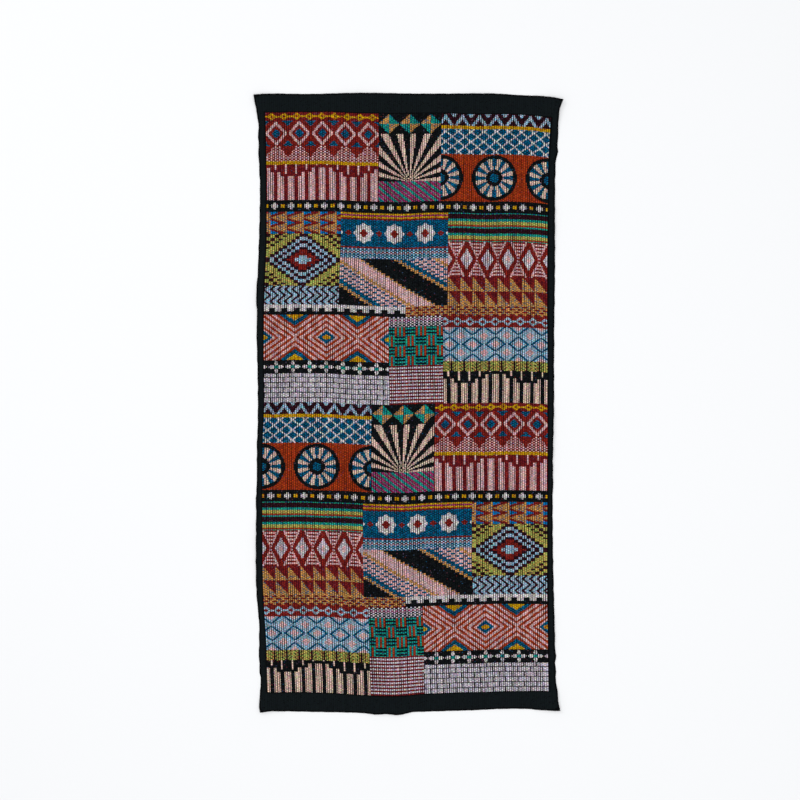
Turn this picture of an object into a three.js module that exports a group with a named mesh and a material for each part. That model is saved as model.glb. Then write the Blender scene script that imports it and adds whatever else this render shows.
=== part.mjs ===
// A length of brocade cloth, woven in one piece and laid face up on a flat surface.
// Its patterned field is thick with coloured yarns that float over and under the ground weave.
// A thinner plain margin, woven in one with the field, runs all round it to the cut edge.
// Millimetres: X across the cloth, Y along its length, Z up from the surface that it lies on.
import * as THREE from "three";
import { mergeVertices } from "three/addons/utils/BufferGeometryUtils.js";

// Driving dimensions
const width = 500;
const length = 1040;
const margins = { left: 11.5, right: 10, top: 31.5, bottom: 28.5 }; // from cut edge to field
const marginThickness = 1.2;
const fieldThickness = 2.0;
const step = 1.5; // over which the margin thickens into the field
const unevenness = 0.3; // how far the field's face rises and sinks
const swells = { across: 380, along: 540, slanting: 270 }; // lengths of those rises, crest to crest
const columnPitch = 20; // between the mesh's lines inside the field
const rowPitch = 30;

// The four cut edges as they lie, from corner to corner
const leftEdge = [
  { y: -517, x: -249 },
  { y: -505, x: -251 },
  { y: -488, x: -249.5 },
  { y: -465, x: -248 },
  { y: -431, x: -251 },
  { y: -364, x: -251 },
  { y: -330, x: -254.5 },
  { y: -296, x: -256 },
  { y: -196, x: -256 },
  { y: 6, x: -253 },
  { y: 174, x: -256 },
  { y: 224, x: -253 },
  { y: 359, x: -249.5 },
  { y: 426, x: -252 },
  { y: 470, x: -251 },
  { y: 486, x: -254.5 },
  { y: 518, x: -260 },
];
const rightEdge = [
  { y: -514, x: 254.5 },
  { y: -505, x: 251 },
  { y: -488, x: 249.5 },
  { y: -465, x: 246 },
  { y: -397, x: 244.5 },
  { y: -330, x: 243 },
  { y: -229, x: 241 },
  { y: -95, x: 241 },
  { y: 6, x: 243 },
  { y: 107, x: 243 },
  { y: 207, x: 244.5 },
  { y: 342, x: 244.5 },
  { y: 409, x: 246 },
  { y: 443, x: 249.5 },
  { y: 486, x: 251 },
  { y: 503, x: 255.5 },
  { y: 510, x: 260 },
];
const topEdge = [
  { x: -260, y: 518 },
  { x: -229, y: 520 },
  { x: -165, y: 519.5 },
  { x: -78, y: 521 },
  { x: 19, y: 520 },
  { x: 150, y: 520 },
  { x: 177, y: 518 },
  { x: 231, y: 515 },
  { x: 260, y: 510 },
];
const bottomEdge = [
  { x: -249, y: -517 },
  { x: -233, y: -515 },
  { x: -165, y: -516 },
  { x: -78, y: -518 },
  { x: -46, y: -521 },
  { x: -31, y: -519 },
  { x: -16, y: -521 },
  { x: 2, y: -517 },
  { x: 53, y: -515 },
  { x: 117, y: -513 },
  { x: 157, y: -511 },
  { x: 197, y: -511 },
  { x: 224, y: -513 },
  { x: 254.5, y: -514 },
];

// Where the rim curls off the surface: its middle, how far it reaches each way, and its height
const curls = [
  { x: -262, y: 520, reachX: 52, reachY: 60, height: 4.5 },
  { x: 262, y: 512, reachX: 66, reachY: 74, height: 6.5 },
  { x: -250, y: -518, reachX: 60, reachY: 46, height: 3.5 },
  { x: 256, y: -516, reachX: 56, reachY: 64, height: 5 },
  { x: -257, y: 172, reachX: 34, reachY: 74, height: 2.6 },
  { x: -257, y: -250, reachX: 38, reachY: 96, height: 3 },
  { x: 246, y: 300, reachX: 32, reachY: 84, height: 2.4 },
  { x: 242, y: -60, reachX: 36, reachY: 104, height: 3 },
  { x: 246, y: -380, reachX: 30, reachY: 60, height: 2 },
  { x: -84, y: 524, reachX: 92, reachY: 34, height: 2.6 },
  { x: -31, y: -522, reachX: 58, reachY: 32, height: 2.8 },
  { x: 118, y: 523, reachX: 62, reachY: 26, height: 1.6 },
];

// A smooth line through a table's stations: the value of one column where the other is `at`
function along(stations, from, to, at) {
  let i = 0;
  while (i < stations.length - 2 && stations[i + 1][from] < at) i += 1;
  const slope = (k) => {
    const a = stations[Math.max(k - 1, 0)];
    const b = stations[Math.min(k + 1, stations.length - 1)];
    return (b[to] - a[to]) / (b[from] - a[from]);
  };
  const gap = stations[i + 1][from] - stations[i][from];
  const u = THREE.MathUtils.clamp((at - stations[i][from]) / gap, 0, 1);
  const blend = u * u * (3 - 2 * u);
  return (
    stations[i][to] * (1 - blend) +
    stations[i + 1][to] * blend +
    gap * (slope(i) * u * (1 - u) ** 2 - slope(i + 1) * (1 - u) * u ** 2)
  );
}

// The point of the cloth at a share s of its width and t of its length, between its four edges
function place(s, t) {
  const { lerp } = THREE.MathUtils;
  const last = (edge) => edge[edge.length - 1];
  const leftY = lerp(leftEdge[0].y, last(leftEdge).y, t);
  const rightY = lerp(rightEdge[0].y, last(rightEdge).y, t);
  const bottomX = lerp(bottomEdge[0].x, last(bottomEdge).x, s);
  const topX = lerp(topEdge[0].x, last(topEdge).x, s);
  return {
    x: lerp(along(leftEdge, "y", "x", leftY), along(rightEdge, "y", "x", rightY), s),
    y: lerp(along(bottomEdge, "x", "y", bottomX), along(topEdge, "x", "y", topX), t),
  };
}

// How far the underside stands off the surface
function lift(x, y) {
  let height = 0;
  for (const curl of curls) {
    const far = Math.hypot((x - curl.x) / curl.reachX, (y - curl.y) / curl.reachY);
    if (far < 1) height = Math.max(height, curl.height * Math.cos((far * Math.PI) / 2) ** 2);
  }
  return height;
}

// The thickness at a share s of the width and t of the length
function thickness(s, t) {
  const { smoothstep } = THREE.MathUtils;
  const rise = (distance, margin) => smoothstep(distance, margin, margin + step);
  const inField = Math.min(
    rise(s * width, margins.left),
    rise((1 - s) * width, margins.right),
    rise((1 - t) * length, margins.top),
    rise(t * length, margins.bottom),
  );
  const wave = (distance, crests) => Math.sin((2 * Math.PI * distance) / crests);
  const swell =
    (wave(s * width, swells.across) * wave(t * length, swells.along) * 2) / 3 +
    wave(s * width + t * length, swells.slanting) / 3;
  return marginThickness + inField * (fieldThickness - marginThickness + unevenness * swell);
}

// Mesh lines as shares of a side: close together in the margin, evenly spaced inside the field
function meshLines(size, startMargin, endMargin, pitch) {
  const inner = size - startMargin - endMargin - 2 * step;
  const count = Math.round(inner / pitch);
  const fieldLine = (_, i) => startMargin + step + (inner * i) / count;
  const start = [0, startMargin / 2, startMargin];
  const field = Array.from({ length: count + 1 }, fieldLine);
  const end = [size - endMargin, size - endMargin / 2, size];
  return [...start, ...field, ...end].map((line) => line / size);
}

function clothGeometry() {
  const columns = meshLines(width, margins.left, margins.right, columnPitch);
  const rows = meshLines(length, margins.bottom, margins.top, rowPitch);
  const box = new THREE.BoxGeometry(1, 1, 1, columns.length - 1, rows.length - 1, 1);
  box.deleteAttribute("normal");
  box.deleteAttribute("uv");
  const cloth = mergeVertices(box, 1e-5);
  const points = cloth.getAttribute("position");
  for (let i = 0; i < points.count; i += 1) {
    const s = columns[Math.round((points.getX(i) + 0.5) * (columns.length - 1))];
    const t = rows[Math.round((points.getY(i) + 0.5) * (rows.length - 1))];
    const { x, y } = place(s, t);
    const isFace = points.getZ(i) > 0;
    points.setXYZ(i, x, y, lift(x, y) + (isFace ? thickness(s, t) : 0));
  }
  cloth.computeVertexNormals();
  return cloth;
}

const brocade = new THREE.MeshStandardMaterial({
  name: "brocade",
  color: "#5a4b4d",
  roughness: 0.95,
  metalness: 0,
});

const brocadeCloth = new THREE.Mesh(clothGeometry(), brocade);
brocadeCloth.name = "brocade_cloth";

const part = new THREE.Group();
part.name = "length_of_brocade_fabric";
part.add(brocadeCloth);

export default part;
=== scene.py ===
# %% [markdown]
# # A length of brocade cloth
#
# Brocade is woven on a loom that lifts each warp thread on its own, so that coloured weft yarns
# can float over the ground weave and draw a pattern. This length was cut from the loom with a
# plain dark margin round its patterned field, and it lies face up with slightly curled edges.
#
# The lesson builds it in the order that a mill works: the size of the cloth, the weaver's chart,
# the yarns, the motifs, the weaving itself, and then the thread ends along the cut.

# %% Load the frame
import math

import bmesh
import bpy
import numpy as np
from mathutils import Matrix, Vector
from mathutils.bvhtree import BVHTree


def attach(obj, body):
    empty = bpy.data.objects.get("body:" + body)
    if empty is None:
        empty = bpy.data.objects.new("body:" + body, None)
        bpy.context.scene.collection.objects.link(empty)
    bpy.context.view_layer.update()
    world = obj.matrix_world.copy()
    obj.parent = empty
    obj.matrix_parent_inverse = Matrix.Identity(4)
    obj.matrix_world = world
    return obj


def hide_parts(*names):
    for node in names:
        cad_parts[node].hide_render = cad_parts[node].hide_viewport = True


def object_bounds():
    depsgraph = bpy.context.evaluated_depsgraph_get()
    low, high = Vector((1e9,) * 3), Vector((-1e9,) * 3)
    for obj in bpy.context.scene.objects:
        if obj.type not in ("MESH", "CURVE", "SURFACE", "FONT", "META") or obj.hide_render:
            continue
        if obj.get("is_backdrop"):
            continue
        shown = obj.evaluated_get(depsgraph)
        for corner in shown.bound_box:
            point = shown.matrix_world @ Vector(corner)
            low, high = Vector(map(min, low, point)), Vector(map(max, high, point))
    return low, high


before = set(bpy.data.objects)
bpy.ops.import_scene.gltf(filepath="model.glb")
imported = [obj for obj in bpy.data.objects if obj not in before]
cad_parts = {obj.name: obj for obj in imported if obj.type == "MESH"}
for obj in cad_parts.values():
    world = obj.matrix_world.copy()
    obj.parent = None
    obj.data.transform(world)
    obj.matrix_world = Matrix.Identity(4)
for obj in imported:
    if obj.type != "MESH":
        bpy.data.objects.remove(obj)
solid_low, solid_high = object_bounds()
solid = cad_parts["brocade_cloth"]
print("The solid is", [round(side * 1000, 1) for side in solid_high - solid_low], "mm")

# %% [markdown]
# ## The camera
#
# The cloth was photographed from straight above, so every thread shows at the same scale. A long
# lens high above the middle of the cloth does the same. An orthographic camera would too, but a
# lens gives the other views a natural depth.

# %% Camera
MM = 0.001
view_width = 1.3415
view_middle = (-0.0150, 0.0066)
lens = 85
sensor = 36


def put_in_scene(name, data):
    """A new object in the scene."""
    made = bpy.data.objects.new(name, data)
    bpy.context.scene.collection.objects.link(made)
    return made


camera = put_in_scene("camera", bpy.data.cameras.new("camera"))
camera.data.lens = lens
camera.data.sensor_width = sensor
camera.location = (*view_middle, view_width * lens / sensor)
bpy.context.scene.camera = camera
print("The camera hangs", round(camera.location.z, 2), "m above the cloth")

# %% [markdown]
# ## The cut edge
#
# Scissors and pull have left the cut edge slightly wavy, with flared corners. The solid holds
# that outline already, so it is read from there rather than drawn again: where a wall of the
# solid meets its underside is the rim, and the four corners part the rim into four sides.

# %% Read the rim of the solid
welded = bmesh.new()
welded.from_mesh(solid.data)
bmesh.ops.remove_doubles(welded, verts=welded.verts, dist=0.01 * MM)
welded.normal_update()


def on_rim(edge):
    """True where a wall of the solid meets its underside."""
    tilts = [face.normal.z for face in edge.link_faces]
    return min(tilts) < -0.9 and max(tilts) > -0.5


rim = {vert for edge in welded.edges if on_rim(edge) for vert in edge.verts}
rim = sorted((vert.co for vert in rim), key=lambda point: math.atan2(point.y, point.x))


def corner(across, along):
    """The place in the rim of the corner that lies furthest that way."""
    reach = [across * point.x / solid_high.x + along * point.y / solid_high.y for point in rim]
    return int(np.argmax(reach))


def side(start, end):
    """The rim's points from one corner to the next, the way round that the clock doesn't go."""
    return rim[start : end + 1] if start <= end else rim[start:] + rim[: end + 1]


bottom_left, bottom_right = corner(-1, -1), corner(1, -1)
top_left, top_right = corner(-1, 1), corner(1, 1)
print(len(rim), "points of the rim, with corners at", bottom_left, bottom_right, top_right, top_left)

# %% [markdown]
# A line through points taken every few centimetres would show as facets. A cubic through the
# same points, with its slope at each taken from its neighbours, is smooth and costs no more.

# %% Smooth lines
def smooth_line(stations):
    """A function that follows the (place, value) stations smoothly, and stays level beyond them."""
    places, values = np.array(sorted(stations)).T
    slopes = np.gradient(values, places)

    def line(at):
        at = np.clip(at, places[0], places[-1])
        i = np.clip(np.searchsorted(places, at) - 1, 0, len(places) - 2)
        gap = places[i + 1] - places[i]
        share = (at - places[i]) / gap
        rest = 1 - share
        ease = share * share * (3 - 2 * share)
        bend = gap * (slopes[i] * share * rest**2 - slopes[i + 1] * rest * share**2)
        return values[i] * (1 - ease) + values[i + 1] * ease + bend

    return line


cut_left = smooth_line([(point.y, point.x) for point in side(top_left, bottom_left)])
cut_right = smooth_line([(point.y, point.x) for point in side(bottom_right, top_right)])
cut_bottom = smooth_line([(point.x, point.y) for point in side(bottom_left, bottom_right)])
cut_top = smooth_line([(point.x, point.y) for point in side(top_right, top_left)])
print("Half way up, the cloth is", round(float(cut_right(0) - cut_left(0)) / MM), "mm wide")

# %% [markdown]
# The patterned field has edges of its own. They run straighter than the cut edge does, because
# the loom's reed keeps the warp in line, so the margin is wider where the corners flare.

# %% The field's four edges
def field_edge(*stations):
    """A smooth line through stations in millimetres: how far along the edge, and how far across it."""
    return smooth_line([(place * MM, value * MM) for place, value in stations])


field_left = field_edge(
    (-485, -237), (-394, -240), (-320, -244.5), (-226, -245.7), (-65, -245.5), (9, -243),
    (76, -243.7), (190, -242.5), (258, -239.5), (378, -239), (488, -241),
)
field_right = field_edge(
    (-481, 234.2), (-394, 233), (0, 232.5), (345, 233), (412, 234.5), (482, 238.5),
)
field_top = field_edge(
    (-241, 488.5), (-132, 489), (-65, 487), (3, 486), (50, 487), (120, 485.5), (204, 483.5), (240, 479),
)
field_bottom = field_edge(
    (-238, -483), (-165, -483), (-98, -486.6), (-31, -489.2), (36, -485.6), (120, -482.3), (236, -481),
)
side_lines = [cut_left, field_left, field_right, cut_right]
end_lines = [cut_bottom, field_bottom, field_top, cut_top]

# %% [markdown]
# ## The weaver's chart
#
# A weaver draws a brocade on squared paper: a column for each pair of warp threads and a row for
# each pick of weft. Every edge in the cloth steps from cell to cell of that chart. Here the chart
# is 272 columns by 688 rows, and the design repeats twice along it. The blocks of each strip swap
# sides in the second repeat, so that no motif stands twice in the same line.
#
# Each entry of the table below is one panel of the design. A strip runs right across the cloth,
# and is parted into blocks side by side. A block is a stack of panels, from its top down, and
# each panel names its height in rows, its motif and the inks that the motif is drawn in.

# %% The chart's size
columns = 272
repeat_rows = 344
repeats = 2
rows = repeat_rows * repeats
rib_cells = 2
# Cells, from one cut edge to the field's two edges and the other cut edge
column_breaks = [-6.5, 0, columns, columns + 5.5]
row_breaks = [-20, 0, rows, rows + 22]
cell_width = float(field_right(0) - field_left(0)) / columns
cell_height = float(field_top(0) - field_bottom(0)) / rows
print("A cell is", round(cell_width / MM, 2), "by", round(cell_height / MM, 2), "mm")

# %% The design, from the top down
# (rows, [(columns, [(rows, motif, inks), ...]), ...])
strips = [
    (104, [
        (108, [
            (10, "beads", "oxblood mustard"), (30, "lozenges", "brick blush petrol"),
            (18, "seeds", "brick blush"), (4, "plain", "mustard"), (42, "pipes", "oxblood blush"),
        ]),
        (60, [(24, "facets", "black teal sand"), (56, "rays", "black bone"), (24, "twill", "mauve teal")]),
        (104, [
            (14, "sawteeth", "aubergine sky"), (4, "plain", "mustard"), (30, "net", "petrol chalk"),
            (56, "wheels", "rust black bone petrol"),
        ]),
    ]),
    (14, [(272, [(14, "crosses", "black chalk mustard")])]),
    (110, [
        (72, [
            (26, "pennants", "sand brick blue"), (62, "terraces", "olive aubergine sky brick"),
            (22, "runs", "aubergine sky"),
        ]),
        (104, [
            (6, "stripes", "mustard mauve"), (36, "stars", "petrol chalk brick"),
            (12, "speckle", "petrol sky oxblood"), (56, "stairway", "blush petrol black sand"),
        ]),
        (96, [
            (34, "courses", "aubergine olive rust teal"), (42, "hourglasses", "brick blush lilac"),
            (34, "halves", "oxblood sand"),
        ]),
    ]),
    (12, [(136, [(12, "teeth", "black chalk")]), (136, [(12, "dashes", "sand oxblood")])]),
    (104, [
        (120, [
            (54, "nested", "rust blush petrol mustard"), (16, "rosettes", "black chalk teal"),
            (34, "bricks", "lilac black"),
        ]),
        (52, [
            (12, "speckle", "black lilac mauve"), (46, "basket", "teal rust black"),
            (46, "stripes", "oxblood lilac"),
        ]),
        (100, [
            (14, "beads", "brick sky"), (40, "lozenges", "sky petrol blush"),
            (12, "ears", "aubergine olive"), (38, "pipes", "black bone"),
        ]),
    ]),
]
assert sum(height for height, _ in strips) == repeat_rows
for height, blocks in strips:
    assert sum(width for width, _ in blocks) == columns
    assert all(sum(panel[0] for panel in stack) == height for _, stack in blocks)


def lay_out():
    """Every panel of the whole cloth as (left, right, bottom, top, motif, inks), in cells."""
    found = []
    top = rows
    for turn in range(repeats):
        for height, blocks in strips:
            left = 0
            for width, stack in blocks[:: -1 if turn % 2 else 1]:
                upper = top
                for panel_rows, motif, drawn_in in stack:
                    found.append((left, left + width, upper - panel_rows, upper, motif, drawn_in))
                    upper -= panel_rows
                left += width
            top -= height
    return found


panels = lay_out()
print(len(panels), "panels in", len({panel[4:] for panel in panels}), "colourings")

# %% [markdown]
# ## The yarns
#
# Every colour on the cloth is a thick dyed yarn with a dull surface. The weaver seldom shows one
# alone: a second yarn comes up in some of the cells, which shades the first. An ink is such a
# pair, with three habits: the share of cells that show the second yarn, and how much painted
# shade darkens the gaps between the ribs and the gaps between one pick and the next.

# %% Yarns and inks
yarns = {
    "black": "#07090b",
    "soot": "#0e1315",
    "charcoal": "#131719",
    "chalk": "#e1dad7",
    "bone": "#dfc7b0",
    "blush": "#e4b0ae",
    "lilac": "#c4bbca",
    "sand": "#cc9350",
    "mustard": "#c3970c",
    "olive": "#a3b158",
    "teal": "#1ea184",
    "sky": "#88c3dc",
    "blue": "#007ac6",
    "petrol": "#00638c",
    "mauve": "#a0356a",
    "rust": "#a23c12",
    "brick": "#842318",
    "oxblood": "#5a131b",
    "aubergine": "#300e18",
}
# name: (first yarn, second yarn, share of the second, painted shade between ribs, painted shade between
# picks)
inks = {
    "black": ("black", "charcoal", 0.3, 0.3, 0.2),
    "chalk": ("chalk", "lilac", 0.25, 0.9, 0.6),
    "bone": ("bone", "blush", 0.3, 0.85, 0.6),
    "blush": ("blush", "lilac", 0.2, 0.8, 0.65),
    "lilac": ("lilac", "chalk", 0.25, 0.8, 0.6),
    "sand": ("sand", "petrol", 0.15, 0.65, 0.8),
    "mustard": ("mustard", "rust", 0.15, 0.6, 0.6),
    "olive": ("olive", "sand", 0.3, 0.75, 0.7),
    "teal": ("teal", "petrol", 0.35, 0.7, 0.7),
    "sky": ("sky", "lilac", 0.4, 0.85, 0.7),
    "blue": ("blue", "petrol", 0.3, 0.6, 0.7),
    "petrol": ("petrol", "black", 0.4, 0.5, 0.7),
    "mauve": ("mauve", "oxblood", 0.3, 0.6, 0.6),
    "rust": ("rust", "brick", 0.4, 0.55, 0.6),
    "brick": ("brick", "oxblood", 0.35, 0.55, 0.6),
    "oxblood": ("oxblood", "brick", 0.25, 0.5, 0.4),
    "aubergine": ("aubergine", "black", 0.3, 0.5, 0.4),
    "margin": ("soot", "black", 0.04, 0.15, 0.1),
    # The shadow ink is painted shade: black bands along the cut edge and beside the field
    "shadow": ("black", "black", 0, 0.5, 0.4),
    "reverse": ("charcoal", "aubergine", 0.5, 0.3, 0.3),
}


def linear(code):
    """A hex colour as the scene-linear red, green, blue and alpha that a shader takes."""
    shares = [int(code[start : start + 2], 16) / 255 for start in (1, 3, 5)]
    return (*[((share + 0.055) / 1.055) ** 2.4 if share > 0.04 else share / 12.92 for share in shares], 1)


print(len(yarns), "yarns make", len(inks), "inks")

# %% [markdown]
# ## Reading the chart in a material
#
# A picture of the chart would blur and would weigh megabytes. The chart is worked out instead:
# each motif is a rule on a cell's place in its panel, kept as sums in Math nodes. Written node
# by node such rules are hard to read, so a small class lets them be written as plain arithmetic.
# A true comparison is 1 and a false one 0, so masks multiply and add.

# %% Nodes
def plug(tree, value, slot):
    """Sets a socket to a plain value, or links a reading to it."""
    if isinstance(value, Reading):
        tree.links.new(value.socket, slot)
    else:
        slot.default_value = value


def add_node(tree, kind, inputs=(), **settings):
    """A new node with those settings. Its inputs are given in order, or by name."""
    node = tree.nodes.new(kind)
    for setting, value in settings.items():
        setattr(node, setting, value)
    if not isinstance(inputs, dict):
        inputs = dict(zip([i for i, slot in enumerate(node.inputs) if slot.enabled], inputs))
    for key, value in inputs.items():
        plug(tree, value, node.inputs[key])
    return node


def work_out(tree, kind, inputs=(), output=None, **settings):
    """What a new node gives: its output of that name, or else the first that is in use."""
    outputs = add_node(tree, kind, inputs, **settings).outputs
    return Reading(tree, outputs[output] if output else next(slot for slot in outputs if slot.enabled))


# %% Arithmetic with nodes
def math_method(operation):
    """A method that puts a reading, and any others, through one Math node."""
    return lambda reading, *others: reading.math(operation, *others)


class Reading:
    """A value that a tree of nodes works out for each spot of the cloth."""

    def __init__(self, tree, socket):
        self.tree = tree
        self.socket = socket

    def math(self, operation, *others):
        """This value put through one Math node, with the others after it."""
        return work_out(self.tree, "ShaderNodeMath", [self, *others], operation=operation)

    __add__ = math_method("ADD")
    __sub__ = math_method("SUBTRACT")
    __mul__ = math_method("MULTIPLY")
    __truediv__ = math_method("DIVIDE")
    __mod__ = math_method("FLOORED_MODULO")
    __lt__ = math_method("LESS_THAN")
    __gt__ = math_method("GREATER_THAN")
    __and__ = math_method("MINIMUM")
    __or__ = math_method("MAXIMUM")
    __abs__ = math_method("ABSOLUTE")
    floor = math_method("FLOOR")

    def __invert__(self):
        """1 less this value."""
        return self.math("MULTIPLY_ADD", -1, 1)

    def fold(self, period):
        """How far this value is from the nearest whole count of periods."""
        return self.math("PINGPONG", period / 2)

    def ramp(self, low, high):
        """0 up to low, 1 from high, and smooth between them."""
        inputs = {"Value": self, "From Min": low, "From Max": high}
        return work_out(self.tree, "ShaderNodeMapRange", inputs, interpolation_type="SMOOTHSTEP")


# %% Vectors, colours, cells and chance
def together(tree, *parts):
    """A vector made of up to three numbers."""
    return work_out(tree, "ShaderNodeCombineXYZ", parts)


def parts_of(tree, vector):
    """The three numbers in a vector."""
    return [Reading(tree, slot) for slot in add_node(tree, "ShaderNodeSeparateXYZ", [vector]).outputs]


def vector_math(tree, operation, *values):
    """A Vector Math node's vector."""
    return work_out(tree, "ShaderNodeVectorMath", values, operation=operation)


def mix(tree, share, first, second, kind="RGBA"):
    """A Mix node's result: first where share is 0 and second where it is 1."""
    return work_out(tree, "ShaderNodeMix", [share, first, second], data_type=kind)


def cells_of(tree, map_name):
    """The two numbers of one of the cloth's maps, which count cells across and up."""
    return parts_of(tree, work_out(tree, "ShaderNodeUVMap", uv_map=map_name))[:2]


def chance(tree, across, up, salt, output="Value"):
    """A random number or Color for each cell, which stays the same from one run to the next."""
    place = together(tree, across, up, salt)
    return work_out(tree, "ShaderNodeTexWhiteNoise", {"Vector": place}, output, noise_dimensions="3D")


def drift(tree, across, up, depth=0, detail=2):
    """A slow smooth change over the cloth, from 0 to 1."""
    place = together(tree, across, up, depth)
    return work_out(tree, "ShaderNodeTexNoise", {"Vector": place, "Scale": 1, "Detail": detail})


def new_group(kind, name, inputs, outputs):
    """A node group, with readings of its inputs by name and the node that takes its outputs."""
    tree = bpy.data.node_groups.new(name, kind)
    for direction, sockets in (("INPUT", inputs), ("OUTPUT", outputs)):
        for socket_name, socket_kind in sockets.items():
            socket_type = "NodeSocket" + socket_kind
            tree.interface.new_socket(socket_name, in_out=direction, socket_type=socket_type)
    given = {slot.name: Reading(tree, slot) for slot in tree.nodes.new("NodeGroupInput").outputs}
    return tree, given, tree.nodes.new("NodeGroupOutput")


# %% [markdown]
# ## How a yarn lies in the cloth
#
# Close to, the cloth is ribbed along its length. Each rib is two cells wide, and the weft passes
# over it in short plump floats, set like bricks from one rib to the next. Between ribs and
# between floats the cloth is in shadow, and the group paints that shade into the colour. A yarn
# is plied from finer strands, and their twist runs slanting across each float. All inks share this
# build, so it is one node group: it takes an ink and gives the colour with its painted shade, and
# a height that the Bump node turns into relief.

# %% Ribs, floats and the cells that show the second yarn
ink_sockets = {"First yarn": "Color", "Second yarn": "Color", "Habits": "Vector"}
weave, given, taken = new_group(
    "ShaderNodeTree",
    "weave of ribs and floats",
    {**ink_sockets, "Peeping": "Float", "Unevenness": "Float"},
    {"Colour": "Color", "Height": "Float", "Roughness": "Float"},
)
second_share, rib_shade, pick_shade = parts_of(weave, given["Habits"])
across, up = cells_of(weave, "weave")
cell_across = across.floor()
cell_up = up.floor()
rib = (across / rib_cells).floor()
from_crest = abs((across / rib_cells - rib) * 2 - 1)
brick_up = (up + rib) / 2
brick = brick_up.floor()
from_middle = abs((brick_up - brick) * 2 - 1)
alternate = (rib + cell_up) % 2
shows_second = (chance(weave, cell_across, cell_up, 1) * 0.5 + alternate * 0.5) < second_share

# %% Painted shade between ribs and floats, tone and fibres
# Painted shade: each gap between ribs, and between one float and the next, is darkened in the colour, more
# in some gaps than in others
gap = (across / rib_cells + 0.5).floor()
gap_shade_depth = drift(weave, gap * 0.7, up / 70)
rib_gap_shade = from_crest.ramp(0.18, 0.82) * rib_shade * ((gap_shade_depth - 0.5) * 3 + 1)
pick_gap_shade = from_middle.ramp(0.25, 0.85) * pick_shade
fibres = drift(weave, across * 1.2, up * 9, detail=3)
plies = drift(weave, across * 4 + up * 2.5, across - up).ramp(0.3, 0.7)
wear = drift(weave, across / 40, up / 60)
float_tone = chance(weave, rib, brick, 2)
rib_tone = chance(weave, rib, 0, 3)
# Each change of tone, and how far it goes from its darkest to its lightest
changes = [(float_tone, 0.5), (rib_tone, 0.2), (fibres, 0.3), (plies, 0.5), (wear, 0.16)]
first_change, *other_changes = [(change - 0.5) * spread for change, spread in changes]
tone = sum(other_changes, first_change)
# The painted shade darkens a spot by at most this share
darkest = 0.95
light = (tone * given["Unevenness"] + 1) * ~(rib_gap_shade & darkest) * ~(pick_gap_shade & darkest)

# %% A yarn from behind that peeps through, and uneven dye: each cell is a little redder or bluer
peep_strength = 0.4
behind = mix(weave, chance(weave, cell_across, cell_up, 4), linear(yarns["petrol"]), linear(yarns["brick"]))
peeps = (chance(weave, cell_across, cell_up, 5) < given["Peeping"]) * peep_strength
dye_spread = given["Unevenness"] * 0.4
uneven = chance(weave, cell_across, cell_up, 6, "Color")
dye = vector_math(weave, "MULTIPLY_ADD", uneven, dye_spread, ~(dye_spread / 2))

# %% What the group gives
given_yarn = mix(weave, peeps, mix(weave, shows_second, given["First yarn"], given["Second yarn"]), behind)
crown = ~(from_crest * from_crest)
swell = ~(from_middle * from_middle)
results = {
    "Colour": vector_math(weave, "MULTIPLY", vector_math(weave, "MULTIPLY", given_yarn, dye), light),
    "Height": crown * 0.45 + crown * swell * 0.4 + fibres * 0.15,
    "Roughness": (fibres - 0.5) * 0.2 + 0.86,
}
for name, value in results.items():
    plug(weave, value, taken.inputs[name])
print("The weave takes", len(weave.nodes), "nodes")

# %% [markdown]
# ## A material from a motif
#
# A motif gives its ground ink and then the inks laid over it, each with the mask of cells that
# it covers. The masks choose between inks, and the weave group turns the chosen ink into cloth.
# The yarn is cotton and wool, so it is rough, with a soft sheen at a low angle and no gloss.

# %% From inks to a material
relief = 0.9 * MM
gloss = 0.02
sheen = 0.02


def ink_values(name):
    """An ink as its two colours and its habits."""
    first, second, *habit = inks[name]
    return linear(yarns[first]), linear(yarns[second]), habit


def cloth_material(name, draw, peeping=0.03, unevenness=1.0):
    """A material of woven cloth. draw(tree) gives the ground's ink and then (mask, ink) pairs."""
    material = bpy.data.materials.new(name)
    material.use_nodes = True
    tree = material.node_tree
    tree.nodes.clear()
    ground, *laid_over = draw(tree)
    drawn = ink_values(ground)
    for mask, ink in laid_over:
        pairs = zip(drawn, ink_values(ink), ("RGBA", "RGBA", "VECTOR"))
        drawn = [mix(tree, mask, *pair) for pair in pairs]
    cloth = add_node(tree, "ShaderNodeGroup", [], node_tree=weave)
    for value, slot in zip((*drawn, peeping, unevenness), cloth.inputs):
        plug(tree, value, slot)
    colour, height, roughness = [Reading(tree, slot) for slot in cloth.outputs]
    shader = work_out(tree, "ShaderNodeBsdfPrincipled", {
        "Base Color": colour,
        "Roughness": roughness,
        "Specular IOR Level": gloss,
        "Sheen Weight": sheen,
        "Sheen Roughness": 0.5,
        "Normal": work_out(tree, "ShaderNodeBump", {"Distance": relief, "Height": height}),
    })
    add_node(tree, "ShaderNodeOutputMaterial", [shader])
    return material


# %% [markdown]
# ## The motifs
#
# These are the plain figures that weavers everywhere chart on squared paper: bars, beads, teeth,
# lozenges, stars, nets, stairs and ears of grain. Each takes x and y, which count cells from the
# panel's middle, the panel's height, and the names of its inks. Its numbers are cells too.

# %% What several motifs share
def chessboard(x, y, wide, tall):
    """1 in every other block of that many cells, and 0 in those between."""
    return ((x / wide).floor() + (y / tall).floor()) % 2


def lozenge(x, y, wide, tall):
    """0 in the middle of each lozenge and 1 on its outline, and 2 midway to the next."""
    return x.fold(wide) / (wide / 2) + y.fold(tall) / (tall / 2)


def below(reading, *steps):
    """Each step's ink where the reading is less than the step's limit, one laid over another."""
    return [(reading < limit, ink) for limit, ink in steps]


# %% Plain cloth, lines, bars and teeth
def plain(x, y, tall, ground):
    """Cloth of one ink."""
    return [ground]


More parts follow.
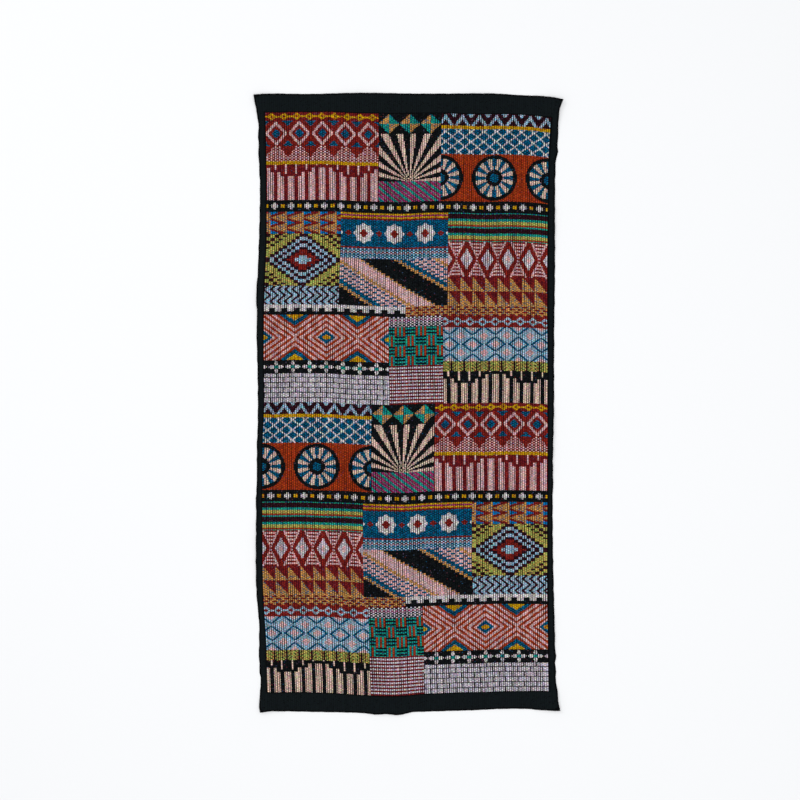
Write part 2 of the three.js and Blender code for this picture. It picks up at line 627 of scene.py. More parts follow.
def stripes(x, y, tall, ground, line):
    """Even stripes across the cloth."""
    return [ground, (y.fold(4) < 1.1, line)]


def courses(x, y, tall, ground, second, third, line):
    """Stripes across of uneven width."""
    step = (y + tall / 2) % 17
    return [ground, (step < 7, second), (step < 3, third), (step.fold(8.5) < 1.1, line)]


def pipes(x, y, tall, ground, pipe):
    """Upright pipes whose tops step down to each side, with thin ones hanging between them."""
    top = (x.fold(60) / 10).floor() * -5 + (tall / 2 - 4)
    upright = (x.fold(10) < 2.6) & (y < top)
    hanging = ((x + 5).fold(10) < 1.1) & (y > top + 3)
    return [ground, (upright | hanging, pipe)]


def teeth(x, y, tall, ground, tooth):
    """Square teeth that bite into each other."""
    return [ground, (y > (x.fold(12) < 3) * 4 - 2, tooth)]


def beads(x, y, tall, ground, bead):
    """A row of beads on a thread."""
    reach = x.fold(12) / 4.4 + abs(y) / (tall * 0.38)
    return [ground, (abs(y) < 1, bead), *below(reach, (1.05, bead), (0.45, ground))]


def sawteeth(x, y, tall, ground, tooth):
    """Pointed teeth along the panel's lower edge, hollow at their foot."""
    reach = x.fold(16) / 8 + (y + tall / 2) / tall
    return [ground, *below(reach, (0.97, tooth), (0.55, ground)), (reach > 1.62, tooth)]


def dashes(x, y, tall, ground, dash):
    """Rows of short dashes."""
    course = (y / 3).floor()
    return [ground, (((x + course * 4) % 8 < 5) & (y % 3 < 1.6), dash)]


def speckle(x, y, tall, ground, light, dark):
    """Two inks in every other stitch of a third, with a row of dark stitches now and then."""
    alternate = chessboard(x, y, 2, 1.5) < 1
    dark_row = (y / 1.5).floor().fold(6) < 1
    return [ground, (alternate, light), (~alternate & dark_row, dark)]


def seeds(x, y, tall, ground, seed):
    """Short stitches set like the black squares of a chessboard, under a row of hills."""
    hill = x.fold(22) / 11 + (y + tall / 2) / tall
    return [ground, ((chessboard(x, y, 2, 1.5) < 1) & (hill < 1.25), seed)]


# %% Slanting motifs
def twill(x, y, tall, ground, line):
    """Slanting lines, one thick and one thin."""
    slant = (x + y) % 13
    return [ground, (slant < 4, line), ((slant > 7) & (slant < 9), line)]


def net(x, y, tall, ground, cord):
    """A diagonal net with a knot in each mesh."""
    knot = ((x + 0.5).fold(12) + y.fold(12)) < 2.2
    return [ground, (((x + y) % 12 < 1.6) | ((x - y) % 12 < 1.6), cord), (knot, cord)]


def runs(x, y, tall, ground, run):
    """Upright lines that run from side to side."""
    return [ground, ((x + y.fold(14)) % 7 < 3.1, run)]


def pennants(x, y, tall, ground, flag, tip):
    """Rows of flags that point to the right."""
    reach = (x % 16) / 16 + y.fold(12) / 6
    return [ground, *below(reach, (0.97, flag), (0.5, tip))]


def stairway(x, y, tall, ground, second, third, line):
    """Broad flights of stairs that climb across the panel."""
    climb = ((x / 4).floor() * 3 + y) % 72
    thin = (climb > 36) & (climb.fold(6) < 1.6)
    layers = [ground, (climb < 54, second), (thin, ground), (climb < 28, third)]
    return [*layers, (climb.fold(28) < 1.6, line)]


def terraces(x, y, tall, ground, step, second, core):
    """A stepped lozenge with terraces inside it."""
    level = abs(y) / (tall / 2) + (abs(x) / 4).floor() / 9
    ring = (level * 8) % 2 < 1
    layers = [ground, (level < 1, step), (ring & (level < 0.88), second), (level < 0.38, core)]
    return [*layers, (level < 0.16, second), ((level > 1.3) & ring, step)]


# %% Lozenges, stars and crosses
def lozenges(x, y, tall, ground, line, heart):
    """Rows of lozenges, each with a heart."""
    reach = lozenge(x, y, 22, tall / round(tall / 26))
    return [ground, *below(reach, (0.98, line), (0.7, ground), (0.4, heart)), (reach > 1.55, heart)]


def nested(x, y, tall, ground, second, heart, line):
    """Lozenges inside lozenges."""
    reach = lozenge(x, y, 60, tall)
    layers = [ground, ((reach * 8) % 2 < 1, second), *below(reach, (0.3, heart), (0.14, line))]
    return [*layers, (reach > 1.5, heart), (reach > 1.72, line)]


def hourglasses(x, y, tall, ground, glass, heart):
    """Hourglasses with a lozenge between each two."""
    beside = x.fold(20) / 10
    level = abs(y) / (tall / 2)
    gap = (x + 10).fold(20) / 10 + level
    lines = (y.fold(4) < 1.1) & (beside < level * 0.6)
    layers = [ground, (beside < level * 0.85, glass), (lines, ground)]
    return [*layers, *below(gap, (0.6, heart), (0.25, glass))]


def stars(x, y, tall, ground, star, heart):
    """Eight-pointed stars: a square laid over another that is turned."""
    beside = x.fold(30) * 1.24
    level = abs(y)
    square = (beside | level) < 9.1
    turned = (beside + level) < 13
    core = (beside + level) < 5.5
    spark = ((x + 15).fold(30) * 1.24 + level) < 4
    return [ground, (square | turned, star), (core | spark, heart), (level > tall / 2 - 2, heart)]


def crosses(x, y, tall, ground, cross, heart):
    """Crosses with a bead between each two."""
    beside = x.fold(16)
    level = abs(y)
    upright = (beside < 1.1) & (level < 4.1)
    arms = (beside < 3.1) & (level < 1.6)
    bead = ((x + 8).fold(16) < 1.6) & (level < 1.6)
    return [ground, (upright | arms, cross), (bead, heart)]


def rosettes(x, y, tall, ground, petal, heart):
    """Four petals round a heart."""
    period = tall / round(tall / 15)
    beside = x.fold(16)
    level = (y + (tall - period) / 2).fold(period)
    upright = beside / 2.4 + abs(level - 4) / 4 < 1
    lying = abs(beside - 4) / 3.6 + level / 2.6 < 1
    return [ground, (upright | lying, petal), (beside + level < 2.2, heart)]


def facets(x, y, tall, ground, lit, shaded):
    """Lozenges in four facets, lit and shaded by turns."""
    inside = lozenge(x, y, 20, 24) < 0.98
    return [ground, (inside, lit), (inside & chessboard(x, y, 10, 12), shaded)]


# %% Wheels and rays
cell_shape = cell_width / cell_height


def wheels(x, y, tall, ground, tyre, spoke, hub):
    """Wheels with broad spokes, side by side."""
    beside = x.fold(52) * cell_shape
    level = abs(y)
    reach = (beside * beside + level * level).math("SQRT") / (tall / 2 - 1)
    wedge = level.math("ARCTAN2", beside).fold(math.pi / 6) < math.pi / 24
    layers = [ground, *below(reach, (1, tyre), (0.84, spoke)), ((reach < 0.84) & wedge, hub)]
    return [*layers, *below(reach, (0.36, tyre), (0.2, hub))]


def rays(x, y, tall, ground, ray):
    """Rays that fan out from the middle of the panel's lower edge."""
    turn = (y + tall / 2).math("ARCTAN2", x * cell_shape)
    return [ground, (turn % (math.pi / 11) < math.pi / 24, ray)]


# %% Grain, basket, bricks and halves
def halves(x, y, tall, ground, half):
    """Small squares, each parted corner to corner."""
    return [ground, (x % 12 + (y % 17) * 0.7 < 12, half)]


def ears(x, y, tall, ground, ear):
    """Ears of grain, side by side."""
    beside = x.fold(12)
    grains = ((beside + y) % 4 < 2.1) & (beside < 4.6)
    return [ground, (grains | (beside < 1), ear)]


def basket(x, y, tall, ground, strand, shade):
    """Blocks of upright and level strands by turns."""
    block = chessboard(x, y, 10, 12)
    upright = (x % 4 < 2) & block
    level = (y % 4 < 2) & ~block
    return [shade, (block, ground), (upright, strand), (level, ground)]


def bricks(x, y, tall, ground, joint):
    """Courses of bricks."""
    course = (y / 6).floor()
    upright = (x + (course % 2) * 6) % 12 < 1.1
    return [ground, ((y % 6 < 1.1) | upright, joint)]


motifs = {
    motif.__name__: motif
    for motif in (
        plain, stripes, courses, pipes, teeth, beads, sawteeth, dashes, speckle, seeds, twill, net,
        runs, pennants, stairway, terraces, lozenges, nested, hourglasses, stars, crosses, rosettes,
        facets, wheels, rays, halves, ears, basket, bricks,
    )
}
print(len(motifs), "motifs")


# %% A material for each kind of panel
def panel_kind(panel):
    """What a panel's material depends on: its size in cells, its motif and its inks."""
    left, right, bottom, top, motif, drawn_in = panel
    return right - left, top - bottom, motif, drawn_in


def panel_material(wide, tall, motif, drawn_in):
    """The material of one kind of panel."""

    def draw(tree):
        x, y = [count.floor() + 0.5 for count in cells_of(tree, "motif")]
        return motifs[motif](x, y, tall, *drawn_in.split())

    return cloth_material("_".join([motif, *drawn_in.split(), str(wide), str(tall)]), draw)


kinds = list(dict.fromkeys(panel_kind(panel) for panel in panels))
materials = [panel_material(*kind) for kind in kinds]
print(len(materials), "woven materials")

# %% [markdown]
# ## The margin and the reverse
#
# The margin is the same ground weave without the coloured wefts, close to black. One smooth yarn
# makes it, so it is more even than the field. Painted shade, in the black shadow ink, makes it
# darkest along the cut edge and where it sinks beside the field. The reverse shows the dark
# ground, and across it the long floats of whichever wefts the face doesn't need there.

# %% Margin and reverse
# How wide the painted shade is along the cut, in metres, and beside the field, in cells
cut_shade_width = 2.5 * MM
field_shade_cells = 1.2
float_length = 26


def over_the_cloth(tree):
    """The cells counted over the whole cloth, and how many cells past the field's edge a spot is."""
    left_right, down_up = cells_of(tree, "weave")
    past = (abs(left_right - columns / 2) - columns / 2) | (abs(down_up - rows / 2) - rows / 2)
    return left_right, down_up, past


def draw_margin(tree):
    """The dark margin, with painted shade in black bands along the cut and along the field."""
    from_cut = work_out(tree, "ShaderNodeAttribute", output="Fac", attribute_name="from_cut")
    _, _, past = over_the_cloth(tree)
    return ["margin", ((from_cut < cut_shade_width) | (past < field_shade_cells), "shadow")]


def draw_reverse(tree):
    """The dark reverse, crossed by long floats of the wefts that the face doesn't need there."""
    left_right, down_up, past = over_the_cloth(tree)
    pick = (down_up / 2).floor()
    run = (left_right / float_length + chance(tree, 0, pick, 11) * 7).floor()
    waiting = chance(tree, run, pick, 12) * (past < 0)
    floats = {0.55: "oxblood", 0.68: "petrol", 0.78: "brick", 0.88: "sand", 0.95: "lilac"}
    return ["reverse", *[(waiting > least, ink) for least, ink in floats.items()]]


margin_slot = len(materials)
reverse_slot = margin_slot + 1
materials.append(cloth_material("margin_charcoal", draw_margin, peeping=0, unevenness=0.35))
materials.append(cloth_material("reverse_floats", draw_reverse))

# %% [markdown]
# ## The cloth's mesh
#
# A cloth is two faces a millimetre or two apart, joined round the cut edge. Its face gets a mesh
# line in each half cell across, so that the ribs can be raised in the mesh itself, but only one
# every few rows, because ribs hardly change along their length. The reverse has far fewer lines.
# Subdividing a plain box would spend the same count evenly and lose the ribs.

# %% Mesh lines
columns_per_cell = 2
widest_column_gap = 1.7
widest_row_gap = 6
reverse_every = 8


def filled(stops, widest):
    """The stops with even steps between them, none wider than the widest."""
    lines = []
    for low, high in zip(stops, stops[1:]):
        lines += list(np.linspace(low, high, math.ceil((high - low) / widest) + 1)[:-1])
    return np.array([*lines, stops[-1]])


left_columns = filled(column_breaks[:2], widest_column_gap)[:-1]
field_columns = filled(column_breaks[1:3], 1 / columns_per_cell)
right_columns = filled(column_breaks[2:], widest_column_gap)[1:]
column_lines = np.concatenate([left_columns, field_columns, right_columns])
panel_ends = {end for panel in panels for end in panel[2:4]}
row_lines = filled(sorted({*row_breaks, 1, rows - 1} | panel_ends), widest_row_gap)
print(len(column_lines), "lines along the cloth and", len(row_lines), "across it")

# %% [markdown]
# The place of a crossing follows from the eight edge lines: between two neighbouring edges it
# divides the distance evenly. The side lines need to know how far up the crossing is and the end
# lines how far across, so each is worked out from the other a few times over.

# %% Where each crossing lies
shape = (len(row_lines), len(column_lines))


def between(lines, at, breaks, cells):
    """The value between four lines, each read at its own place, for every cell count."""
    values = [line(at) for line in lines]
    found = values[0]
    for k in range(3):
        share = np.clip((cells - breaks[k]) / (breaks[k + 1] - breaks[k]), 0, 1)
        found = found + (values[k + 1] - values[k]) * share
    return found


cells_across = np.broadcast_to(column_lines, shape)
cells_up = np.broadcast_to(row_lines[:, None], shape)
x = np.broadcast_to((column_lines - columns / 2) * cell_width, shape)
for _ in range(3):
    y = between(end_lines, x, row_breaks, cells_up)
    x = between(side_lines, y, column_breaks, cells_across)
print("The mesh spans", round(float(np.ptp(x)) / MM), "by", round(float(np.ptp(y)) / MM), "mm")

# %% [markdown]
# No thread runs quite straight. The warp sways by half a millimetre where the loom slackened, and
# the loom's reed crowds some ribs and spreads others, which leaves faint streaks along the cloth.
# The cut edge ripples where the margin's threads pulled back. In a few spots a tuft of loose ends
# stands out of it, or the scissors bit a little deeper.

# %% Sway inside the field and a ripple along the cut
sway_reach = 0.55 * MM
reed_reach = 0.35 * MM
ripple_reach = 0.5 * MM
sway_fade = 30 * MM
ripple_fade = 8 * MM


def waves(place, length, other, other_length):
    """An uneven wave along one direction that drifts along the other, from -1 to 1."""
    turn = 2 * math.pi
    bend = np.sin(turn * other / other_length + 1.1)
    phase = turn * place / length
    return np.sin(phase + 1.7 * bend) * 0.6 + np.sin(phase * 2.3 + bend) * 0.4


from_cut = np.minimum.reduce([x - cut_left(y), cut_right(y) - x, y - cut_bottom(x), cut_top(x) - y])
from_cut = np.maximum(from_cut, 0)
inward = np.clip(from_cut / sway_fade, 0, 1) ** 2
outward = np.clip(1 - from_cut / ripple_fade, 0, 1)
x_swayed = x + inward * sway_reach * waves(y, 0.19, x, 0.33)
x_swayed = x_swayed + inward * reed_reach * waves(x, 0.021, x, 0.13)
y_swayed = y + inward * sway_reach * waves(x, 0.16, y, 0.41)
side_ripple = ripple_reach * waves(y, 0.031, x, 0.5)
# Millimetres: the side, how far up it a tuft is, how far it stands out or in, its half length
tufts = [
    (1, 508, -1.8, 8), (1, 423, 2.4, 9), (1, 96, 0.9, 7), (1, -132, 0.9, 12), (1, -423, 1.7, 6),
    (1, -446, 1.5, 5), (1, -512, -1.4, 8), (-1, 451, 1.8, 9), (-1, 158, -1.4, 12), (-1, 140, -1.5, 9),
    (-1, -66, 1.4, 9), (-1, -92, 1.3, 6), (-1, -160, 1.3, 9), (-1, -448, 1.2, 6),
]
for which_side, middle_y, stands_out, half_length in tufts:
    bump = np.exp(-(((y / MM - middle_y) / half_length) ** 2))
    side_ripple = side_ripple + stands_out * MM * bump * (np.sign(x) == which_side)
x_swayed = x_swayed + side_ripple * outward * np.sign(x)
y_swayed = y_swayed + ripple_reach * 0.4 * waves(x, 0.027, y, 0.5) * outward * np.sign(y)

# %% [markdown]
# ## How the cloth lies
#
# The underside follows the solid: flat on the floor, with corners and edges that curl off it.
# The solid's height is read at stations a few centimetres apart, and the smooth lines above
# carry it from one to the next. The face stands off the underside by the cloth's thickness,
# which steps up from the thin margin to the field.

# %% Heights read from the solid
surface = BVHTree.FromBMesh(welded)
columns_per_station = 11
rows_per_station = 20
well_below = -10 * MM
well_above = 30 * MM
station_columns = filled(column_breaks, columns_per_station)
station_rows = filled(row_breaks, rows_per_station)
near_columns = [np.argmin(abs(column_lines - column)) for column in station_columns]
near_rows = [np.argmin(abs(row_lines - row)) for row in station_rows]


def heights_from(start):
    """The height of the spot of the solid that is nearest to each station at the height start."""
    spots = [[Vector((x[j, i], y[j, i], start)) for i in near_columns] for j in near_rows]
    return np.array([[surface.find_nearest(spot)[0].z for spot in line] for line in spots])


def smooth_grid(heights):
    """Heights at the stations, carried smoothly to every crossing of the mesh."""
    wide = np.array([smooth_line(list(zip(station_columns, line)))(column_lines) for line in heights])
    return np.array([smooth_line(list(zip(station_rows, line)))(row_lines) for line in wide.T]).T


under_at = heights_from(well_below)
underside = np.maximum(smooth_grid(under_at), 0)
solid_thickness = smooth_grid(heights_from(well_above) - under_at)
print("The cloth lifts off the floor by up to", round(float(underside.max()) / MM, 1), "mm")

# %% Thickness, and slack ridges
margin_thickness = 1.2 * MM
field_least = 1.75 * MM
cut_thickness = 0.9 * MM
cut_reach = 1.5 * MM
# Millimetres: where a ridge's middle is, its half length and half width, its turn in degrees, its height
ridges = [
    (-150, 330, 110, 22, 12, 0.5), (90, 205, 150, 26, -8, 0.55), (-60, 20, 130, 24, 20, 0.5),
    (140, -120, 120, 20, -15, 0.6), (-130, -240, 140, 26, 6, 0.55), (60, -390, 120, 22, -10, 0.5),
    (10, 440, 90, 18, 4, 0.45), (-252, 420, 12, 34, 0, 0.8), (248, 140, 12, 40, 0, 0.7),
    (-250, -60, 12, 36, 0, 0.7), (40, 516, 46, 12, 0, 0.6), (170, -508, 44, 12, 0, 0.6),
]


def ridge(middle_x, middle_y, half_length, half_width, turn, rise):
    """A low smooth ridge in the cloth, in metres."""
    angle = math.radians(turn)
    dx = x - middle_x * MM
    dy = y - middle_y * MM
    along = (dx * math.cos(angle) + dy * math.sin(angle)) / (half_length * MM)
    beside = (dy * math.cos(angle) - dx * math.sin(angle)) / (half_width * MM)
    return rise * MM * np.cos(np.clip(np.hypot(along, beside), 0, 1) * math.pi / 2) ** 2


underside = underside + sum(ridge(*row) for row in ridges)
into_field = np.minimum.reduce([cells_across, columns - cells_across, cells_up, rows - cells_up])
in_field = np.clip(into_field, 0, 1)
near_cut = np.clip(1 - from_cut / cut_reach, 0, 1)
margin_now = margin_thickness + (cut_thickness - margin_thickness) * near_cut
thickness = margin_now + in_field * (np.maximum(solid_thickness, field_least) - margin_now)
face = underside + thickness
print("The field is", round(float(thickness.max()) / MM, 2), "mm thick at most")

# %% [markdown]
# ## Points and faces
#
# The face is a plain grid. The reverse keeps one column in eight, but all of them along its two
# ends, so that its outermost faces take every point of the rim and nothing gapes. Round the cut a
# third ring of points, pushed out a little, rounds the edge.

# %% Numbering the points
last_row, last_column = shape[0] - 1, shape[1] - 1
edge_bulge = 0.3 * MM
face_number = np.arange(shape[0] * shape[1]).reshape(shape)
kept_columns = sorted({*range(0, last_column, reverse_every), last_column})
on_reverse = np.zeros(shape, bool)
on_reverse[:, kept_columns] = True
on_reverse[[0, last_row], :] = True
reverse_number = np.full(shape, -1)
reverse_number[on_reverse] = face_number.size + np.arange(on_reverse.sum())

ring = np.array(
    [(0, i) for i in range(last_column)]
    + [(j, last_column) for j in range(last_row)]
    + [(last_row, i) for i in range(last_column, 0, -1)]
    + [(j, 0) for j in range(last_row, 0, -1)]
)
count = len(ring)


def round_cut(grid):
    """A grid's values at the crossings round the cut."""
    return grid[ring[:, 0], ring[:, 1]]


ring_x, ring_y, ring_z = round_cut(x_swayed), round_cut(y_swayed), round_cut(underside + face) / 2
ahead_x = np.roll(ring_x, -1) - np.roll(ring_x, 1)
ahead_y = np.roll(ring_y, -1) - np.roll(ring_y, 1)
length = np.hypot(ahead_x, ahead_y)
out_x, out_y = ahead_y / length, -ahead_x / length
middle_number = face_number.size + on_reverse.sum() + np.arange(count)

points = np.concatenate([
    np.stack([x_swayed, y_swayed, face], axis=-1).reshape(-1, 3),
    np.stack([x_swayed, y_swayed, underside], axis=-1)[on_reverse],
    np.stack([ring_x + out_x * edge_bulge, ring_y + out_y * edge_bulge, ring_z], axis=-1),
])
print(len(points), "points")

# %% Faces
grid_faces = np.stack(
    [face_number[:-1, :-1], face_number[:-1, 1:], face_number[1:, 1:], face_number[1:, :-1]], axis=-1
).reshape(-1, 4)


def reverse_faces():
    """The faces of the reverse, as rings of (row, column) seen from below."""
    for j in range(last_row):
        for low, high in zip(kept_columns, kept_columns[1:]):
            lower = range(low, high + 1) if j == 0 else (low, high)
            upper = range(low, high + 1) if j + 1 == last_row else (low, high)
            outline = [(j, i) for i in lower] + [(j + 1, i) for i in reversed(upper)]
            yield outline[::-1]


reverse_rings = list(reverse_faces())
faces = grid_faces.tolist()
faces += [[int(reverse_number[spot]) for spot in outline] for outline in reverse_rings]
levels = [round_cut(reverse_number), middle_number, round_cut(face_number)]
for lower, upper in zip(levels, levels[1:]):
    faces += np.stack([lower, np.roll(lower, -1), np.roll(upper, -1), upper], axis=-1).tolist()
mesh = bpy.data.meshes.new("woven_brocade")
mesh.from_pydata(points, [], faces)
print(len(faces), "faces")

# %% [markdown]
# ## Maps and attributes
#
# The map named weave counts the chart's cells over the whole cloth, and the map named motif
# counts them from the middle of each panel. A third map lays the face and the reverse out side
# by side in a square, for whoever turns the materials into pictures later.

# %% Which panel each face belongs to
panel_of = np.full((last_row, last_column), -1)
row_middles = (row_lines[:-1] + row_lines[1:]) / 2
column_middles = (column_lines[:-1] + column_lines[1:]) / 2
for number, (left, right, bottom, top, _, _) in enumerate(panels):
    within_rows = (row_middles > bottom) & (row_middles < top)
    within_columns = (column_middles > left) & (column_middles < right)
    panel_of[np.ix_(within_rows, within_columns)] = number
slot_of_panel = np.array([kinds.index(panel_kind(panel)) for panel in panels] + [margin_slot])
middle_of_panel = np.array([((p[0] + p[1]) / 2, (p[2] + p[3]) / 2) for p in panels] + [(0, 0)])

# %% The three maps
face_share = 0.9
reverse_left, reverse_share = 0.935, 0.06
wall_left, wall_pitch, wall_width = 0.904, 0.007, 0.004
low_cell = np.array([column_breaks[0], row_breaks[0]])
cell_span = np.array([column_breaks[-1], row_breaks[-1]]) - low_cell

grid_cells = np.stack([cells_across, cells_up], axis=-1)
weave_map = grid_cells.reshape(-1, 2)[grid_faces.ravel()]
motif_map = weave_map - np.repeat(middle_of_panel[panel_of].reshape(-1, 2), 4, axis=0)
flat_map = (weave_map - low_cell) / cell_span * (face_share, 1)
reverse_cells = np.array([grid_cells[spot] for outline in reverse_rings for spot in outline])
reverse_flat = (reverse_cells - low_cell) / cell_span * (reverse_share, 1) + (reverse_left, 0)

here = round_cut(grid_cells)
ahead = np.roll(here, -1, axis=0)
wall_cells = np.tile(np.stack([here, ahead, ahead, here], axis=1).reshape(-1, 2), (2, 1))
quarter = np.arange(count) / count * 4
just_short = 1e-6
start, end = quarter % 1, (quarter + 4 / count - just_short) % 1
strip = wall_left + wall_pitch * quarter.astype(int)
wall_flat = []
for level in (0, 0.5):
    low, high = strip + wall_width * level, strip + wall_width * (level + 0.5)
    corners = np.array([(low, start), (low, end), (high, end), (high, start)])
    wall_flat.append(corners.transpose(2, 0, 1).reshape(-1, 2))

maps = {
    "weave": [weave_map, reverse_cells, wall_cells],
    "motif": [motif_map, reverse_cells, wall_cells],
    "OFBake": [flat_map, reverse_flat, *wall_flat],
}
for name, parts in maps.items():
    layer = mesh.uv_layers.new(name=name)
    layer.data.foreach_set("uv", np.concatenate(parts).astype(np.float32).ravel())

# %% Materials, shading and attributes
for material in materials:
    mesh.materials.append(material)
face_slots = slot_of_panel[panel_of].ravel()
slots = np.concatenate([face_slots, [reverse_slot] * len(reverse_rings), [margin_slot] * (2 * count)])
mesh.polygons.foreach_set("material_index", slots.astype(np.int32))
mesh.shade_smooth()
elsewhere = np.zeros(len(points) - face.size)
for name, values in {"from_cut": from_cut, "raised": in_field}.items():
    layer = mesh.attributes.new(name, "FLOAT", "POINT")
    layer.data.foreach_set("value", np.concatenate([values.ravel(), elsewhere]).astype(np.float32))
is_margin = mesh.attributes.new("is_margin", "BOOLEAN", "FACE")
is_margin.data.foreach_set("value", slots == margin_slot)
mesh.validate()
cloth = put_in_scene("woven_brocade", mesh)

# %% [markdown]
# ## Raising the ribs
#
# The ribs repeat 136 times and follow one rule, so Geometry Nodes raise them. The tree reads how
# far across its rib each point is from the map named weave, and lifts it along a rounded profile.
# A noise along each rib makes the yarn swell and thin as spun yarn does.

# %% Helpers for a tree of Geometry Nodes
def named(tree, name, kind="FLOAT"):
    """A Named Attribute node's value."""
    return work_out(tree, "GeometryNodeInputNamedAttribute", {"Name": name}, data_type=kind)


def finish_tree(tree, made, material, taken, selection=True):
    """Ends a tree in Realize Instances and Set Material, because an export drops instances."""
    real = work_out(tree, "GeometryNodeRealizeInstances", [made])
    inputs = {"Geometry": real, "Selection": selection, "Material": material}
    plug(tree, work_out(tree, "GeometryNodeSetMaterial", inputs), taken.inputs[0])


def apply_tree(piece, tree, values):
    """Runs a tree on a piece with those inputs and keeps the result as a plain mesh."""
    modifier = piece.modifiers.new(tree.name, "NODES")
    modifier.node_group = tree
    for item in tree.interface.items_tree:
        if item.item_type == "SOCKET" and item.name in values:
            modifier[item.identifier] = values[item.name]
    graph = bpy.context.evaluated_depsgraph_get()
    made = piece.evaluated_get(graph)
    result = bpy.data.meshes.new_from_object(made, preserve_all_data_layers=True, depsgraph=graph)
    piece.modifiers.clear()
    piece.data = result
    result.name = piece.name
    return result


# %% The tree that raises the ribs
rib_tree, rib_in, rib_out = new_group(
    "GeometryNodeTree",
    "raise the ribs",
    {"Mesh": "Geometry", "Rib height": "Float", "Swelling": "Float", "Seed": "Float", "Margin": "Material"},
    {"Mesh": "Geometry"},
)
roundness = 0.7
share_below = 0.6
count_across, count_up, _ = parts_of(rib_tree, named(rib_tree, "weave", "FLOAT_VECTOR"))
rib_across = count_across / rib_cells
profile = ((rib_across % 1) * math.pi).math("SINE").math("POWER", roundness)
fullness = drift(rib_tree, rib_across.floor() * 7.3, count_up / 9, rib_in["Seed"])
swollen = rib_in["Rib height"] + rib_in["Swelling"] * (fullness - 0.5)
lift = swollen * (profile - share_below) * named(rib_tree, "raised")
offset = together(rib_tree, 0, 0, lift)
moved = work_out(rib_tree, "GeometryNodeSetPosition", {"Geometry": rib_in["Mesh"], "Offset": offset})
finish_tree(rib_tree, moved, rib_in["Margin"], rib_out, named(rib_tree, "is_margin", "BOOLEAN"))

# %% Raise them
ribbed = apply_tree(cloth, rib_tree, {
    "Rib height": 0.45 * MM,
    "Swelling": 0.3 * MM,
    "Seed": 4.0,
    "Margin": materials[margin_slot],
})
triangles = sum(len(face.vertices) - 2 for face in ribbed.polygons)
print("The cloth has", triangles, "triangles")

# %% [markdown]
# ## Cut thread ends
#
# Shears leave short ends of weft standing out of the margin all round. Each is a tapered stub of
# a millimetre or so, and hundreds of them follow one rule: a stub every few millimetres along the
# cut, turned outwards and a little aside. Geometry Nodes set them out along a line of the rim.

# %% The line that the ends stand on
inset = 0.3 * MM
rim_line = np.stack([ring_x - out_x * inset, ring_y - out_y * inset, ring_z], axis=-1)
rim_mesh = bpy.data.meshes.new("cut_thread_ends")
rim_mesh.from_pydata(rim_line, [(k, (k + 1) % count) for k in range(count)], [])
thread_ends = put_in_scene("cut_thread_ends", rim_mesh)

# %% The tree that sets out the ends
end_tree, end_in, end_out = new_group(
    "GeometryNodeTree",
    "cut thread ends",
    {"Mesh": "Geometry", "Spacing": "Float", "Length": "Float", "Thickness": "Float", "Lean": "Float",
     "Seed": "Int", "Yarn": "Material"},
    {"Mesh": "Geometry"},
)


def random_vector(low, high, seed):
    """A Random Value node's vector for each place."""
    inputs = {"Min": low, "Max": high, "Seed": seed}
    return work_out(end_tree, "FunctionNodeRandomValue", inputs, data_type="FLOAT_VECTOR")


curve = work_out(end_tree, "GeometryNodeMeshToCurve", [end_in["Mesh"]])
evenly = {"Curve": curve, "Length": end_in["Spacing"]}
tangent = work_out(end_tree, "GeometryNodeInputTangent")
straight_out = vector_math(end_tree, "CROSS_PRODUCT", tangent, (0, 0, 1))
astray = random_vector((-1, -1, -0.1), (1, 1, 0.9), end_in["Seed"])
leaning = vector_math(end_tree, "MULTIPLY", astray, end_in["Lean"])
heading = vector_math(end_tree, "ADD", straight_out, leaning)
stub = work_out(end_tree, "GeometryNodeMeshCone", {
    "Vertices": 5,
    "Radius Top": end_in["Thickness"] * 0.3,
    "Radius Bottom": end_in["Thickness"] * 0.5,
    "Depth": end_in["Length"],
})
stubs = work_out(end_tree, "GeometryNodeInstanceOnPoints", {
    "Points": work_out(end_tree, "GeometryNodeResampleCurve", evenly, mode="LENGTH"),
    "Instance": stub,
    "Rotation": work_out(end_tree, "FunctionNodeAlignRotationToVector", {"Vector": heading}, axis="Z"),
    "Scale": random_vector((0.8, 0.8, 0.3), (1.2, 1.2, 1.2), end_in["Seed"] + 1),
})
finish_tree(end_tree, stubs, end_in["Yarn"], end_out)

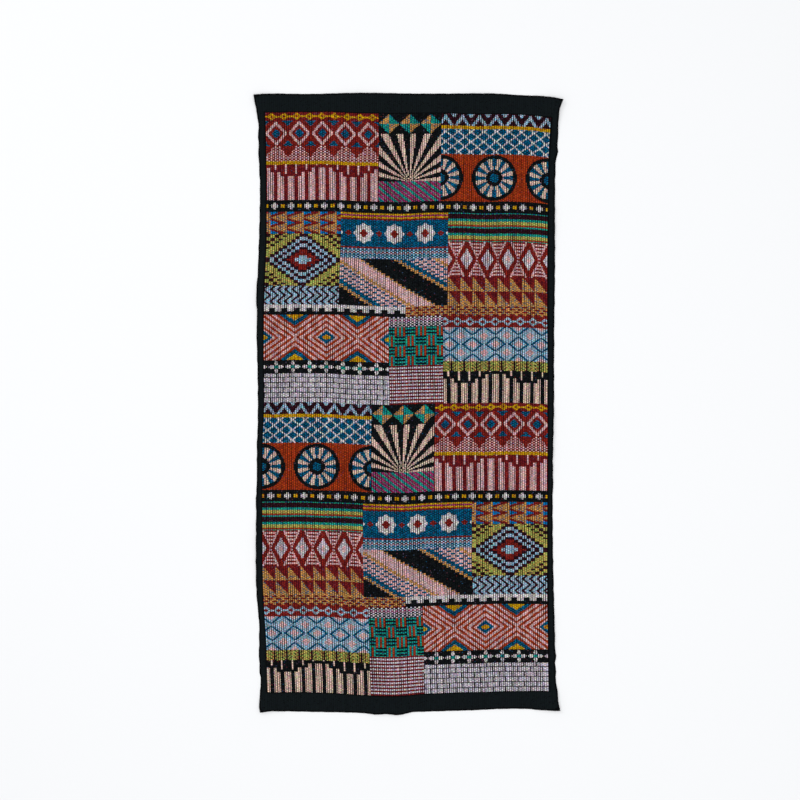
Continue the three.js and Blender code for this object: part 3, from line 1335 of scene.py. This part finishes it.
# %% Set them out
ends_made = apply_tree(thread_ends, end_tree, {
    "Spacing": 3.1 * MM,
    "Length": 1.2 * MM,
    "Thickness": 0.42 * MM,
    "Lean": 0.5,
    "Seed": 7,
    # The ends have no from_cut attribute, which reads 0, so the margin material paints them all over in its
    # black painted-shade ink
    "Yarn": materials[margin_slot],
})
print(len(ends_made.polygons), "faces in the thread ends")

# %% [markdown]
# ## The floor and the light
#
# The cloth was photographed on white under light from all round, with hardly a shadow. A big
# soft light overhead and a bright sky do that. A little more light from the upper left lets the
# ribs show.

# %% Floor
half = 20.0
level = -0.2 * MM
floor_points = [(-half, -half, level), (half, -half, level), (half, half, level), (-half, half, level)]
floor_mesh = bpy.data.meshes.new("floor")
floor_mesh.from_pydata(floor_points, [], [(0, 1, 2, 3)])
floor = put_in_scene("floor", floor_mesh)
floor_material = bpy.data.materials.new("floor_white")
floor_material.use_nodes = True
floor_shader = floor_material.node_tree.nodes["Principled BSDF"]
floor_shader.inputs["Base Color"].default_value = (0.71, 0.71, 0.715, 1)
floor_shader.inputs["Roughness"].default_value = 0.9
floor_shader.inputs["Specular IOR Level"].default_value = 0.1
floor_mesh.materials.append(floor_material)
floor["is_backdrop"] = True

# %% Light
def soft_light(name, place, size, power):
    """A square soft light that faces the middle of the cloth."""
    lamp = put_in_scene(name, bpy.data.lights.new(name, "AREA"))
    lamp.data.size = size
    lamp.data.energy = power
    lamp.location = place
    lamp.rotation_mode = "QUATERNION"
    lamp.rotation_quaternion = Vector(place).to_track_quat("Z", "Y")


soft_light("overhead", (0.3, -0.35, 3.8), 3.6, 108)
soft_light("upper_left", (-2.2, 1.8, 2.4), 1.6, 27)
sky = bpy.data.worlds.new("sky")
sky.use_nodes = True
sky.node_tree.nodes["Background"].inputs["Color"].default_value = (0.96, 0.98, 1.0, 1)
sky.node_tree.nodes["Background"].inputs["Strength"].default_value = 0.71
bpy.context.scene.world = sky
bpy.context.scene.view_settings.view_transform = "Standard"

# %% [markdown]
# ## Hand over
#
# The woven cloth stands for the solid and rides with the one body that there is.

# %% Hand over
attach(cloth, "root")
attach(thread_ends, "root")
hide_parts("brocade_cloth")
bpy.context.view_layer.update()
low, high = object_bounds()
boxes = {"cad": [list(solid_low), list(solid_high)], "visual": [list(low), list(high)]}
print("Visual box", [round(side * 1000, 1) for side in high - low], "mm")
